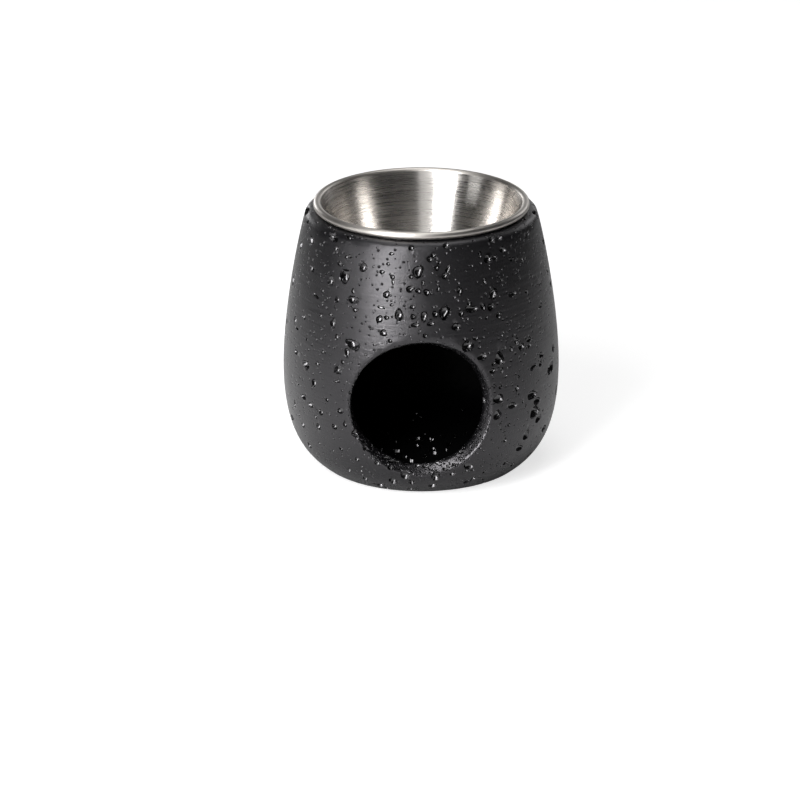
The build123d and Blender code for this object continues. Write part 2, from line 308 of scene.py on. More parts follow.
photoPits = dict(  # pixels from the left and from the top, then pixels across and down
    rim=[
        (306, 211, 8, 6), (308, 222, 3, 3), (411.5, 247.6, 6, 5), (446.4, 245.3, 6, 5),
        (333.5, 237.7, 8, 7), (350.7, 236.8, 6, 4), (491.9, 239.5, 5, 5), (499.2, 237.7, 4, 5),
        (536, 214, 4, 6),
    ],
    leftShoulder=[
        (337, 249, 5, 4), (348.4, 256.8, 7, 4), (340.5, 264, 5, 5), (363.3, 267.5, 7, 8),
        (345, 276, 8, 14), (330.5, 280.5, 5, 9), (312, 269, 4, 5), (311, 241, 4, 9), (301, 245, 3, 6),
        (353.5, 299.7, 9, 7), (337, 299.7, 4, 5), (355.5, 310, 5, 4), (333, 323, 5, 9),
        (331, 315, 4, 4), (321, 316, 4, 4), (316, 296, 5, 3), (323, 291, 3, 3), (353, 291, 3, 5),
        (295, 320, 2, 8), (297, 328, 3, 3), (304, 317, 3, 5),
    ],
    middle=[
        (391.6, 253.8, 5, 3), (388, 264, 4, 3), (382, 272, 5, 4), (392.5, 277, 5, 4), (393, 282, 3, 6),
        (418, 271.7, 9, 12), (411, 277, 4, 4), (386.3, 294.5, 6, 7), (410.4, 288.9, 8, 6),
        (418.4, 291.2, 5, 5), (381, 307.5, 7, 3), (391.5, 305, 4, 3), (398.9, 314.8, 8, 10),
        (386.5, 317.8, 5, 4), (379.5, 319, 6, 7), (412.5, 307, 5, 4), (413, 317, 5, 5),
        (415.5, 325, 8, 4), (383.5, 333, 7, 6), (390, 341, 4, 4),
    ],
    rightShoulder=[
        (433.3, 255.6, 5, 5), (430, 259.5, 6, 5), (436.8, 268.2, 5, 5), (439.5, 263, 4, 3),
        (444.8, 276, 6, 6), (448, 269, 4, 9), (423, 283, 3, 5), (427, 292.5, 6, 6), (438.5, 289, 3, 5),
        (459.7, 291, 5, 8), (424.2, 316.5, 6, 10), (435.6, 314.2, 6, 6), (444.8, 313, 10, 12),
        (431, 324, 7, 4), (461.5, 313.5, 5, 6), (456.3, 327, 8, 7), (471.2, 309, 12, 6),
        (469.5, 304, 4, 6), (483.4, 306.5, 4, 8), (491.4, 307, 7, 7), (493.7, 294, 7, 11),
        (484.5, 281, 3, 6), (502, 280, 3, 4), (488.4, 258.5, 8, 8), (495, 257.5, 4, 5),
        (502.2, 249.5, 5, 5), (480, 253.5, 3, 4), (511.5, 259.5, 4, 4), (512.5, 294.2, 6, 5),
        (499, 314.5, 5, 5), (540, 284, 2, 6), (526.5, 291.5, 3, 3), (475.5, 338.3, 6, 4),
        (472, 330, 3, 3), (540, 307, 3, 3),
    ],
    aboveMouth=[
        (353, 344.5, 12, 9), (348, 342, 5, 5), (347.2, 352, 5, 7), (467.8, 346.3, 10, 10),
        (482, 356.5, 8, 6), (499.9, 358.9, 8, 12), (493.5, 364, 4, 4), (493, 371, 6, 5),
        (502, 370, 3, 5), (425.5, 336, 5, 4),
    ],
    leftSide=[
        (305.9, 364.7, 6, 8), (323.5, 352, 4, 4), (317.5, 364, 4, 4), (338, 370, 7, 8),
        (342.5, 362, 3, 4), (337.5, 381.5, 5, 3), (314, 382.6, 4, 8), (303.6, 396.8, 4, 5),
        (340.4, 411, 6, 5), (320.8, 412.4, 4, 5), (318.5, 426.7, 4, 5), (334.6, 426.7, 5, 5),
        (345, 424.4, 4, 5), (337.5, 337, 5, 5), (296, 352, 3, 5), (311, 405, 4, 5), (327, 400, 3, 3),
        (303, 425, 3, 4),
    ],
    rightSide=[
        (516.5, 341, 4, 7), (521.5, 346.5, 5, 6), (529, 340, 5, 4), (529, 346, 3, 3), (511, 349, 3, 5),
        (551.6, 365.8, 3, 9), (541, 355, 3, 6), (533.5, 367, 6, 5), (540.5, 364, 3, 5),
        (553, 348, 2, 8), (498.8, 399, 9, 9), (497.6, 415, 7, 9), (512.5, 405.5, 7, 6),
        (495, 387, 3, 3), (501, 387, 4, 4), (532, 395, 8, 8), (537, 401, 6, 7), (534.4, 412, 8, 10),
        (538, 419, 5, 6), (526.3, 434.7, 5, 10), (519.4, 448, 7, 5), (549, 371, 3, 7), (556, 390, 2, 9),
        (517, 388, 3, 5), (544, 428, 4, 6), (509, 425, 3, 3), (529, 455, 3, 4), (505, 440, 3, 4),
    ],
    mouthEdge=[
        (354.6, 433.5, 6, 7), (365.6, 448.5, 5, 5), (377.1, 463, 5, 5), (390.4, 468, 5, 4),
        (405, 475.6, 8, 8), (436, 476.5, 8, 8), (393.4, 481.3, 8, 5), (411.9, 482, 6, 4),
        (468.5, 466.2, 9, 5), (452, 474, 4, 3),
    ],
    bottom=[
        (365.6, 478.8, 5, 3), (380, 485, 9, 3), (387, 487.7, 5, 2), (410.6, 488.6, 5, 2),
        (417, 488.6, 3, 2), (432.5, 485.6, 8, 3), (467, 481.8, 7, 3), (473, 478.7, 4, 3),
        (484.4, 472, 3, 3), (482, 480.6, 3, 3), (505, 463, 4, 3), (512.5, 464.4, 4, 3),
        (357, 459.4, 4, 3), (349, 470, 3, 3), (341, 449, 3, 3),
    ],
    mouthCut=[
        (417, 466, 4, 2), (425.5, 466.5, 6, 2.5), (438.7, 464, 6, 2), (445, 469, 5, 3),
        (460, 452, 5, 3), (454, 464.5, 4, 3), (433, 470, 3, 2), (477, 425, 2, 4), (484, 400, 2, 5),
        (397, 462, 4, 2), (481, 412, 3, 4),
    ],
    floor=[
        (418, 439, 10, 3), (431, 439.5, 7, 3), (418, 446, 8, 3), (433, 449.5, 7, 3.5), (435, 453, 6, 3),
        (397.5, 452, 9, 4), (404.5, 457, 7, 3), (387, 458, 7, 3), (449, 444, 5, 4), (409, 440, 3, 2),
        (441, 436, 3, 2), (425, 456, 4, 3), (446, 450, 4, 2), (398, 442, 3, 2), (455, 436, 4, 3),
        (466, 433, 4, 3), (458, 421, 3, 3), (411, 461, 6, 3), (392, 461, 7, 3), (373, 446, 4, 3),
        (381, 450, 4, 2), (462, 410, 2, 2),
    ],
)
# Degrees round from the mouth to the right, share of the stretch's climb, share of mainRadius
unseenPits = dict(
    lower=[
        (-74, 0.60, 0.8), (-66, 0.80, 0.5), (-60, 0.42, 0.6), (98, 0.80, 0.6), (106, 0.50, 0.9),
        (116, 0.86, 0.7), (127, 0.66, 0.5), (134, 0.38, 0.8), (144, 0.78, 0.9), (155, 0.55, 0.6),
        (165, 0.86, 0.8), (172, 0.42, 0.7), (183, 0.70, 0.9), (193, 0.30, 0.5), (202, 0.82, 0.6),
        (211, 0.58, 0.8), (222, 0.88, 0.7), (230, 0.45, 0.6), (241, 0.74, 0.9), (250, 0.35, 0.7),
        (259, 0.64, 0.5),
    ],
    upper=[
        (-83, 0.31, 0.6), (-80, 0.58, 0.7), (82, 0.55, 0.6), (84, 0.81, 0.8), (99, 0.74, 0.7),
        (103, 0.42, 0.9), (108, 0.60, 0.5), (113, 0.86, 0.6), (118, 0.22, 0.8), (124, 0.68, 1.0),
        (131, 0.45, 0.6), (137, 0.90, 0.7), (141, 0.12, 0.6), (146, 0.57, 0.8), (152, 0.33, 0.9),
        (158, 0.76, 0.6), (163, 0.18, 0.5), (168, 0.64, 0.9), (174, 0.88, 0.8), (179, 0.40, 0.6),
        (185, 0.25, 0.9), (190, 0.71, 0.7), (195, 0.52, 0.5), (201, 0.84, 0.9), (206, 0.14, 0.7),
        (212, 0.61, 0.8), (217, 0.36, 0.6), (223, 0.79, 0.5), (229, 0.49, 0.9), (235, 0.20, 0.6),
        (240, 0.69, 0.8), (246, 0.90, 0.6), (251, 0.43, 0.7), (257, 0.62, 0.9), (262, 0.28, 0.6),
    ],
)
pits = dict(
    seed=23,
    mainRadius=2.2 * mm,
    wallCount=230,          # small ones all round the outer wall
    backCount=80,           # middling ones where the photograph doesn't reach
    rimCount=34,
    insideCount=11,
    floorCount=12,
    cutCount=10,
    small=(0.32 * mm, 0.7 * mm),
    large=(0.6 * mm, 1.3 * mm),
    smallPower=1.7,         # more than 1 for more of the smaller sizes in each range
    clumping=60.0,          # how quickly crowded and bare patches follow each other, per metre
    crowding=(0.45, 1.6, 0.04),  # chance of a pit on plain ground, its rise in a crowd, its least value
    wallHeights=(0.03, 0.985),  # shares of the jar's height
    innerHeights=(0.12, 0.95),
    backSide=(78, 282),     # degrees round from the mouth to the right
    stretch=(0.72, 1.38),   # times wider than round, and as much lower
    lean=0.5,               # radians
    photoLean=0.3,          # share of that for the pits that the photograph shows
    leastFacing=0.35,       # a pit seen aslant is widened by no more than 1 over this
    mainFrom=1.1 * mm,      # radius
    upFacing=0.8,           # cosine, above which the skin under a pit counts as level
    sillFacing=0.5,
    depth=(1.0, 1.35),      # share of the pit's smaller radius
    mainDepth=(0.85, 1.15),
    evenDepth=1.1 * mm,     # of the photograph's pits on the chamber's floor and on the mouth's sill
    evenSlopes=(2.1, 0.9),  # of their walls, on the floor and on the sill
    evenShare=0.8,          # of the depth at which those walls would meet
    evenCorners=3.0,        # 2 for a round plan, more for a squarer one
    onFloor=0.5 * mm,       # above the floor, up to which a pit lies on it
    steepness=2.6,          # 2 for round bowls, more for steeper walls and flatter bottoms
    ragged=(0.06, 0.07),    # shares by which the plan swings, twice and three times round
    notchEvery=3,           # one main pit in this many has its edge cut by a smaller bowl
    notchSize=(0.35, 0.55),  # share of the pit's own
    notchPlace=0.75,        # share of the way to the pit's edge
    faceSize=(0.15 * mm, 0.4 * mm),  # smallest and largest faces in a pit
    facesAcross=(7.8, 5.6),  # in the pits that the photograph shows, and in the others
    levelFineness=1.5,      # times as many across the photograph's pits on level skin
    grading=1.5,            # how fast the faces grow away from a pit
    photoGrowth=1.14,       # the dark part seen is a little narrower than the pit
    reach=1.3,              # radii from a pit's middle that hold all its points
    rimSlide=0.5,           # of a face, how far a point is moved at most to lie on the rim
    rimSlideMost=0.6,       # of the smaller radius, the face that counts at most
    pittedEdge=1.05,        # radii out, where the pits' own finish ends
    pittedSharpness=6,
)
refining = dict(
    rounds=4,
    bendReach=0.5 * mm,
    bendStep=0.7 * mm,
    bendSide=(0.3, 0.5, 0.8),  # crossed with the normal, for a step along the skin
    bendLimit=0.25,         # change of the normal in that step, above which the skin is a rounded edge
    edgeFace=0.62 * mm,
    slack=1.35,             # faces up to this many times the wanted size stay
    pitEdge=1.08,           # radii from a pit's middle, up to which its faces are the finest
)
bowlShape = namedtuple("bowlShape", "place out side rise wide high depth faceSize first second slope")


# Where the camera's rays through these pixels meet the jar
def skinBehind(rights, downs, rounds=160, stride=0.6):
    middle, lens = photo["width"] / 2, photo["focalPixels"]
    rays = np.column_stack(((rights - middle) / lens, (middle - downs) / lens, -np.ones(len(rights))))
    rays = rays @ np.array(camera.matrix_world.to_3x3()).T
    rays /= np.linalg.norm(rays, axis=1)[:, None]
    start = np.array(camera.matrix_world.translation)
    along = np.full(len(rights), photo["distance"] - 2 * jar["bellyRadius"])
    for _ in range(rounds):
        along = along + stride * jarDistance(start + rays * along[:, None])
    return start + rays * along[:, None]


def tangents(out, upright=0.2):  # across and up on the skin, for normals that point out of it
    across = np.column_stack((-out[:, 1], out[:, 0], np.zeros(len(out))))
    flat = np.linalg.norm(across, axis=1) < upright
    across[flat] = (1, 0, 0)
    across -= out * (across * out).sum(1)[:, None]
    across /= np.linalg.norm(across, axis=1)[:, None]
    return across, np.cross(out, across)


def pitsFromPhoto():
    rows = np.array([row for part in photoPits.values() for row in part], float)
    places = skinBehind(rows[:, 0], rows[:, 1])
    out = jarNormals(places)
    across, up = tangents(out)
    turn = np.array(camera.matrix_world.to_3x3())
    scale = photo["distance"] / photo["focalPixels"] / 2
    wide = rows[:, 2] * scale / np.clip(np.abs(across @ turn[:, 0]), pits["leastFacing"], 1)
    high = rows[:, 3] * scale / np.clip(np.abs(up @ turn[:, 1]), pits["leastFacing"], 1)
    return places, wide * pits["photoGrowth"], high * pits["photoGrowth"]


def unseenPlaces():
    belly = np.searchsorted(outerWall[:, 1], jar["bellyHeight"])
    places, radii = [], []
    for part, rows in (("lower", outerWall[:belly + 1]), ("upper", outerWall[belly:])):
        climb = np.concatenate(((0,), np.cumsum(np.hypot(*np.diff(rows[:, :2], axis=0).T))))
        for around, share, size in unseenPits[part]:
            turn = math.radians(around)
            radius, height = (np.interp(share * climb[-1], climb, rows[:, column]) for column in (0, 1))
            places.append((radius * math.sin(turn), -radius * math.cos(turn), height))
            radii.append(pits["mainRadius"] * size)
    return np.array(places), np.array(radii)


def scattered(chance, count, sizes, place):  # places that crowd together here and there
    kept, radii = [], []
    plain, rise, least = pits["crowding"]
    while len(kept) < count:
        spot = place(chance)
        crowd = noise.noise(Vector(spot) * pits["clumping"])
        if chance.random() < np.clip(plain + rise * crowd, least, 1):
            kept.append(spot)
            radii.append(sizes[0] * (sizes[1] / sizes[0]) ** (chance.random() ** pits["smallPower"]))
    return np.array(kept), np.array(radii)


def onOuterWall(chance, start=0.0, end=math.tau):
    around, height = chance.uniform(start, end), chance.uniform(*pits["wallHeights"]) * jar["height"]
    radius = float(onWall(outerWall, height))
    return (radius * math.sin(around), -radius * math.cos(around), height)


def onBack(chance):
    return onOuterWall(chance, *(math.radians(angle) for angle in pits["backSide"]))


def onRim(chance):
    around, radius = chance.uniform(0, math.tau), chance.uniform(jar["openingRadius"], jar["rimRadius"])
    return (radius * math.sin(around), radius * math.cos(around), jar["height"])


def onInnerWall(chance):
    around, height = chance.uniform(0, math.tau), chance.uniform(*pits["innerHeights"]) * jar["height"]
    radius = float(innerRadius(np.array(height)))
    return (radius * math.sin(around), radius * math.cos(around), height)


def onFloor(chance):
    around, radius = chance.uniform(0, math.tau), jar["openingRadius"] * chance.random() ** 0.5
    return (radius * math.sin(around), radius * math.cos(around), jar["floor"])


def onMouthCut(chance):
    around, radius = chance.uniform(0, math.tau), jar["throatRadius"] + chance.random() * jar["mouthFlare"]
    x, z = radius * math.cos(around), jar["mouthHeight"] + radius * math.sin(around)
    wall = float(onWall(outerWall, z)) - (jar["throatRadius"] + jar["mouthFlare"] - radius)
    return (x, -math.sqrt(wall * wall - x * x), z)


def planPits():
    chance = np.random.default_rng(pits["seed"])
    places, wide, high = pitsFromPhoto()
    small, large = pits["small"], pits["large"]
    groups = [
        (pits["wallCount"], small, onOuterWall),
        (pits["backCount"], large, onBack),
        (pits["rimCount"], small, onRim),
        (pits["insideCount"], large, onInnerWall),
        (pits["floorCount"], (small[1], large[1]), onFloor),
        (pits["cutCount"], small, onMouthCut),
    ]
    spots, radii = [[part] for part in unseenPlaces()]
    for count, sizes, place in groups:
        more, size = scattered(chance, count, sizes, place)
        spots.append(more)
        radii.append(size)
    radii = np.concatenate(radii)
    places = np.vstack([places] + spots)
    stretch = chance.uniform(*pits["stretch"], len(radii))
    wide = np.concatenate((wide, radii * stretch))
    high = np.concatenate((high, radii / stretch))
    places = settleOnJar(places, 12)
    out = jarNormals(places)
    across, up = tangents(out)
    lean = chance.normal(0, pits["lean"], len(places))[:, None]
    lean[:len(places) - len(radii)] *= pits["photoLean"]
    sides = across * np.cos(lean) + up * np.sin(lean), up * np.cos(lean) - across * np.sin(lean)
    bowls = []
    seen = np.arange(len(places)) < len(places) - len(radii)
    for place, normal, side, rise, a, b, shown in zip(places, out, *sides, wide, high, seen):
        main = max(a, b) > pits["mainFrom"] and normal[2] < pits["upFacing"]
        depth = min(a, b) * chance.uniform(*pits["mainDepth" if main else "depth"])
        slope = 0
        if shown and normal[2] > pits["sillFacing"] and place[2] < jar["mouthHeight"]:
            slope = pits["evenSlopes"][0 if place[2] < jar["floor"] + pits["onFloor"] else 1]
            depth = min(pits["evenDepth"], pits["evenShare"] * slope * b)
        across = pits["facesAcross"][0 if shown else 1]
        if shown and normal[2] > pits["upFacing"]:
            across *= pits["levelFineness"]
        fine = float(np.clip(2 * min(a, b) / across, *pits["faceSize"]))
        phases = chance.uniform(0, math.tau, 2)
        bowls.append(bowlShape(place, normal, side, rise, a, b, depth, fine, *phases, slope))
        if main and int(chance.integers(0, pits["notchEvery"])) == pits["notchEvery"] - 1:
            turn, share = chance.uniform(0, math.tau), chance.uniform(*pits["notchSize"])
            spot = place + pits["notchPlace"] * (a * math.cos(turn) * side + b * math.sin(turn) * rise)
            smaller = (a * share, b * share, depth * share)
            phases = chance.uniform(0, math.tau, 2)
            bowls.append(bowlShape(spot, normal, side, rise, *smaller, fine, *phases, 0))
    return bowls


def faceReader(piece):
    faces = piece.data.polygons
    centers, areas, sides = np.empty(len(faces) * 3), np.empty(len(faces)), np.empty(len(faces), int)
    faces.foreach_get("center", centers)
    faces.foreach_get("area", areas)
    faces.foreach_get("loop_total", sides)
    return centers.reshape(-1, 3), np.sqrt(areas), sides


def selectFaces(piece, wanted):
    makeActive(piece)
    for items in (piece.data.vertices, piece.data.edges):
        items.foreach_set("select", np.zeros(len(items), bool))
    piece.data.polygons.foreach_set("select", wanted)
    bpy.ops.object.mode_set(mode="EDIT")


def treeOf(points):
    tree = kdtree.KDTree(len(points))
    for number, point in enumerate(points):
        tree.insert(point, number)
    tree.balance()
    return tree


def skinBend(points):  # how far the normal turns in a short step along the skin
    step = refining["bendStep"] * np.cross(jarNormals(points), refining["bendSide"])
    reach = refining["bendReach"]
    return np.linalg.norm(jarNormals(points, reach) - jarNormals(points + step, reach), axis=1)


def refineSkin(piece, bowls):  # small faces at the pits and at the rounded edges, large ones between them
    bpy.context.tool_settings.mesh_select_mode = (False, False, True)
    grading, slack = pits["grading"], refining["slack"]
    for _ in range(refining["rounds"]):
        centers, lengths, _sides = faceReader(piece)
        wanted = np.full(len(centers), jar["skinStep"] * 2)
        wanted[skinBend(centers) > refining["bendLimit"]] = refining["edgeFace"]
        tree = treeOf(centers)
        largest = float(lengths.max()) / slack
        for bowl in bowls:
            fine, edge = bowl.faceSize, refining["pitEdge"] * max(bowl.wide, bowl.high)
            reach = edge + max(0.0, largest - fine) / grading
            for _spot, number, away in tree.find_range(bowl.place, reach):
                wanted[number] = min(wanted[number], fine + max(0.0, away - edge) * grading)
        coarse = lengths > slack * wanted
        if not coarse.any():
            break
        selectFaces(piece, coarse)
        bpy.ops.mesh.subdivide(number_cuts=1)
        bpy.ops.object.mode_set(mode="OBJECT")
        _centers, _lengths, sides = faceReader(piece)
        selectFaces(piece, sides > 4)
        bpy.ops.mesh.quads_convert_to_tris()
        bpy.ops.object.mode_set(mode="OBJECT")
        writePoints(piece, settleOnJar(readPoints(piece), 3))
    bpy.context.tool_settings.mesh_select_mode = (True, False, False)


def pointsNear(tree, bowl):
    found = tree.find_range(bowl.place, pits["reach"] * max(bowl.wide, bowl.high))
    return np.array([number for _spot, number, _away in found], int)


def shareOut(points, bowl):  # how far the points are from the bowl's middle, 1 on its ragged rim
    away = points - bowl.place
    u, v = away @ bowl.side / bowl.wide, away @ bowl.rise / bowl.high
    w = away @ bowl.out / min(bowl.wide, bowl.high)
    around = np.arctan2(v, u)
    double, triple = pits["ragged"]
    ragged = 1 + double * np.sin(2 * around + bowl.first) + triple * np.sin(3 * around + bowl.second)
    power = pits["evenCorners"] if bowl.slope else 2.0
    return (np.abs(u) ** power + np.abs(v) ** power + np.abs(w) ** power) ** (1 / power) / ragged


def drawRims(piece, bowls):  # slides the nearest points onto each bowl's rim, so that the rim is crisp
    points = readPoints(piece)
    tree = treeOf(points)
    moved = np.zeros(len(points), bool)
    for bowl in bowls:
        near = pointsNear(tree, bowl)
        near = near[~moved[near]]
        if not len(near):
            continue
        share, smaller = shareOut(points[near], bowl), min(bowl.wide, bowl.high)
        slide = pits["rimSlide"] * min(bowl.faceSize, pits["rimSlideMost"] * smaller)
        close = np.abs(share - 1) * smaller < slide
        near, share = near[close], share[close]
        points[near] = bowl.place + (points[near] - bowl.place) / share[:, None]
        moved[near] = True
    writePoints(piece, settleOnJar(points, 2))


def cutMask(points):  # 1 on the mouth's cut, 0 off it
    edge = jar["throatRadius"] + mouthFlareAt(points) + jar["mouthRounding"] * jar["cutEdgeShare"]
    cut = np.clip((edge - offThroat(points)) / jar["cutFade"], 0, 1)
    atFront = (points[:, 1] < -jar["cutFront"] * jar["openingRadius"]) & (points[:, 2] > jar["floor"])
    return np.where(atFront, cut, 0)


def pressPits(piece, bowls):
    points = readPoints(piece)
    out = jarNormals(points)
    tree = treeOf(points)
    depths, pitted = np.zeros(len(points)), np.zeros(len(points))
    for bowl in bowls:
        near = pointsNear(tree, bowl)
        if not len(near):
            continue
        share = shareOut(points[near], bowl)
        if bowl.slope:
            depth = np.clip(bowl.slope * min(bowl.wide, bowl.high) * (1 - share), 0, bowl.depth)
        else:
            depth = bowl.depth * np.sqrt(np.maximum(0, 1 - share ** pits["steepness"]))
        depths[near] = np.maximum(depths[near], depth)
        inPit = np.clip((pits["pittedEdge"] - share) * pits["pittedSharpness"], 0, 1)
        pitted[near] = np.maximum(pitted[near], inPit)
    writePoints(piece, points - out * depths[:, None])
    for name, values in (("pitted", pitted), ("mouthCut", cutMask(points))):
        piece.data.attributes.new(name, "FLOAT", "POINT").data.foreach_set("value", values)


bowls = planPits()
refineSkin(jarPiece, bowls)
drawRims(jarPiece, bowls)
pressPits(jarPiece, bowls)
faceCount, cornerCount = len(jarPiece.data.polygons), len(jarPiece.data.loops)
print("pits pressed:", len(bowls), "bowls,", faceCount, "faces,", cornerCount - 2 * faceCount, "triangles")


# The steel dish: one sheet, flat at the bottom, leaning at the wall and rolled at the lip

dishLow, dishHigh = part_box("oil_dish")
dish = dict(
    sheet=0.6 * mm,
    lipRadius=1.37 * mm,
    lipCurl=250,            # degrees
    wallLean=17,            # degrees from upright
    depth=33.0 * mm,        # from the top of the lip to the oil side of the bottom
    corner=17.0 * mm,
    floorPoints=6,
    cornerPoints=16,
    wallShares=(0.25, 0.5, 0.75),  # of the way up the wall
    lipPoints=20,
    steps=288,
    smoothAngle=40,         # degrees
)


def dishSide(inset):  # one side of the sheet, from the axis to the end of the rolled lip
    lean = math.radians(dish["wallLean"])
    lip = np.array((dishHigh[0] - dish["lipRadius"], dishHigh[2] - dish["lipRadius"]))
    outward = np.array((math.cos(lean), -math.sin(lean)))
    bottom = dishHigh[2] - dish["depth"]
    wallTop = lip - outward * dish["lipRadius"]
    drop = wallTop[1] - bottom - dish["corner"] * (1 - math.sin(lean))
    wallFoot = wallTop - np.array((math.tan(lean), 1)) * drop
    middle = wallFoot - outward * dish["corner"]
    corner = arcPoints(middle, dish["corner"] + inset, -90, -dish["wallLean"], dish["cornerPoints"])
    start = 180 - dish["wallLean"]
    roll = arcPoints(lip, dish["lipRadius"] - inset, start, start - dish["lipCurl"], dish["lipPoints"])
    edge, level = corner[0]
    floor = [(radius, level) for radius in np.linspace(0, edge, dish["floorPoints"])[:-1]]
    wall = [np.array(corner[-1]) + (np.array(roll[0]) - corner[-1]) * share for share in dish["wallShares"]]
    return floor + corner + [tuple(point) for point in wall] + roll


def spinDish():
    piece = lathe("steelDish", dishSide(0) + dishSide(dish["sheet"])[::-1], dish["steps"])
    bpy.ops.object.shade_smooth_by_angle(angle=math.radians(dish["smoothAngle"]))
    return piece


dishPiece = spinDish()
print("dish spun:", len(dishPiece.data.polygons), "faces")


# Materials

def feed(tree, socket, value):  # a link from another node's output, or a plain value
    if isinstance(value, bpy.types.NodeSocket):
        tree.links.new(value, socket)
    else:
        socket.default_value = value


def addNode(tree, kind, values=None, **settings):
    node = tree.nodes.new(kind)
    for key, setting in settings.items():
        setattr(node, key, setting)
    for name, value in (values or {}).items():
        feed(tree, node.inputs[name], value)
    return node


def newGroup(name, inputs, outputs):
    tree = bpy.data.node_groups.new(name, "ShaderNodeTree")
    for socket, kind, value in inputs:
        made = tree.interface.new_socket(socket, in_out="INPUT", socket_type=kind)
        if value is not None:
            made.default_value = value
    for socket, kind in outputs:
        tree.interface.new_socket(socket, in_out="OUTPUT", socket_type=kind)
    return tree, tree.nodes.new("NodeGroupInput"), tree.nodes.new("NodeGroupOutput")


def mathNode(tree, operation, first, second=0.0, clamp=False):
    node = addNode(tree, "ShaderNodeMath", {0: first, 1: second}, operation=operation, use_clamp=clamp)
    return node.outputs[0]


def product(tree, first, *others):
    for other in others:
        first = mathNode(tree, "MULTIPLY", first, other)
    return first


def fade(tree, value, start, end):  # 0 at the start and 1 at the end, eased at both
    values = {"Value": value, "From Min": start, "From Max": end}
    return addNode(tree, "ShaderNodeMapRange", values, interpolation_type="SMOOTHSTEP").outputs[0]


def blend(tree, factor, first, second, kind="FLOAT"):  # a plain mix of two values or colours
    values = {"Factor": factor, "A": first, "B": second}
    return addNode(tree, "ShaderNodeMix", values, data_type=kind).outputs["Result"]


def uneven(tree, mask, middle, spread):  # a value that swings about its middle with the mask
    return mathNode(tree, "ADD", middle - spread / 2, product(tree, mask, spread))


def noiseNode(tree, vector, scale, detail):
    values = {"Vector": vector, "Scale": scale, "Detail": detail}
    return addNode(tree, "ShaderNodeTexNoise", values).outputs["Fac"]


def bumpNode(tree, height, strength, distance):
    values = {"Height": height, "Strength": strength, "Distance": distance}
    return addNode(tree, "ShaderNodeBump", values).outputs[0]


def newMaterial(name):
    material = bpy.data.materials.new(name)
    material.use_nodes = True
    return material, material.node_tree, material.node_tree.nodes["Principled BSDF"]


# Fine grain and broader patches in the ceramic, each from 0 to 1
def makeGrainGroup():
    tree, given, out = newGroup(
        "surfaceGrain",
        [
            ("Vector", "NodeSocketVector", None),
            ("Grain Size", "NodeSocketFloat", 3000.0),
            ("Patch Size", "NodeSocketFloat", 90.0),
        ],
        [("Grain", "NodeSocketFloat"), ("Patches", "NodeSocketFloat")],
    )
    vector = given.outputs["Vector"]
    feed(tree, out.inputs["Grain"], noiseNode(tree, vector, given.outputs["Grain Size"], 3.0))
    feed(tree, out.inputs["Patches"], noiseNode(tree, vector, given.outputs["Patch Size"], 4.0))
    return tree


# Rings about the Z axis, from 0 to 1: turning lines on the jar, brushing on the dish
def makeRingGroup(climb=1.7):  # as many rings are crossed by a step up as by this many steps out
    tree, given, out = newGroup(
        "turnedRings",
        [
            ("Vector", "NodeSocketVector", None),
            ("Ring Scale", "NodeSocketFloat", 900.0),
            ("Wander", "NodeSocketFloat", 6.0),
        ],
        [("Rings", "NodeSocketFloat")],
    )
    x, y, z = addNode(tree, "ShaderNodeSeparateXYZ", {0: given.outputs["Vector"]}).outputs
    around = mathNode(tree, "ARCTAN2", y, x)
    squares = mathNode(tree, "ADD", product(tree, x, x), product(tree, y, y))
    slant = mathNode(tree, "ADD", mathNode(tree, "SQRT", squares), product(tree, z, climb))
    cosine = product(tree, mathNode(tree, "COSINE", around), given.outputs["Wander"])
    sine = product(tree, mathNode(tree, "SINE", around), given.outputs["Wander"])
    across = product(tree, slant, given.outputs["Ring Scale"])
    place = addNode(tree, "ShaderNodeCombineXYZ", {0: cosine, 1: sine, 2: across}).outputs[0]
    feed(tree, out.inputs["Rings"], noiseNode(tree, place, 1.0, 2.0))
    return tree


# Pinholes too small to model, from 0 on the skin to 1 at a hole's middle
def makePinholeGroup(leastReach=0.3):  # the smallest hole's share of the reach
    tree, given, out = newGroup(
        "pinholes",
        [
            ("Vector", "NodeSocketVector", None),
            ("Holes", "NodeSocketFloat", 500.0),
            ("Reach", "NodeSocketFloat", 0.35),
            ("Share", "NodeSocketFloat", 0.5),
        ],
        [("Depth", "NodeSocketFloat")],
    )
    values = {"Vector": given.outputs["Vector"], "Scale": given.outputs["Holes"]}
    cells = addNode(tree, "ShaderNodeTexVoronoi", values)
    pick = addNode(tree, "ShaderNodeSeparateColor", {0: cells.outputs["Color"]})
    there = mathNode(tree, "LESS_THAN", pick.outputs[0], given.outputs["Share"])
    reach = product(tree, given.outputs["Reach"], mathNode(tree, "ADD", pick.outputs[1], leastReach))
    deep = fade(tree, cells.outputs["Distance"], reach, 0.0)
    feed(tree, out.inputs["Depth"], product(tree, deep, there))
    return tree


grainGroup = makeGrainGroup()
pinholeGroup = makePinholeGroup()
ringGroup = makeRingGroup()

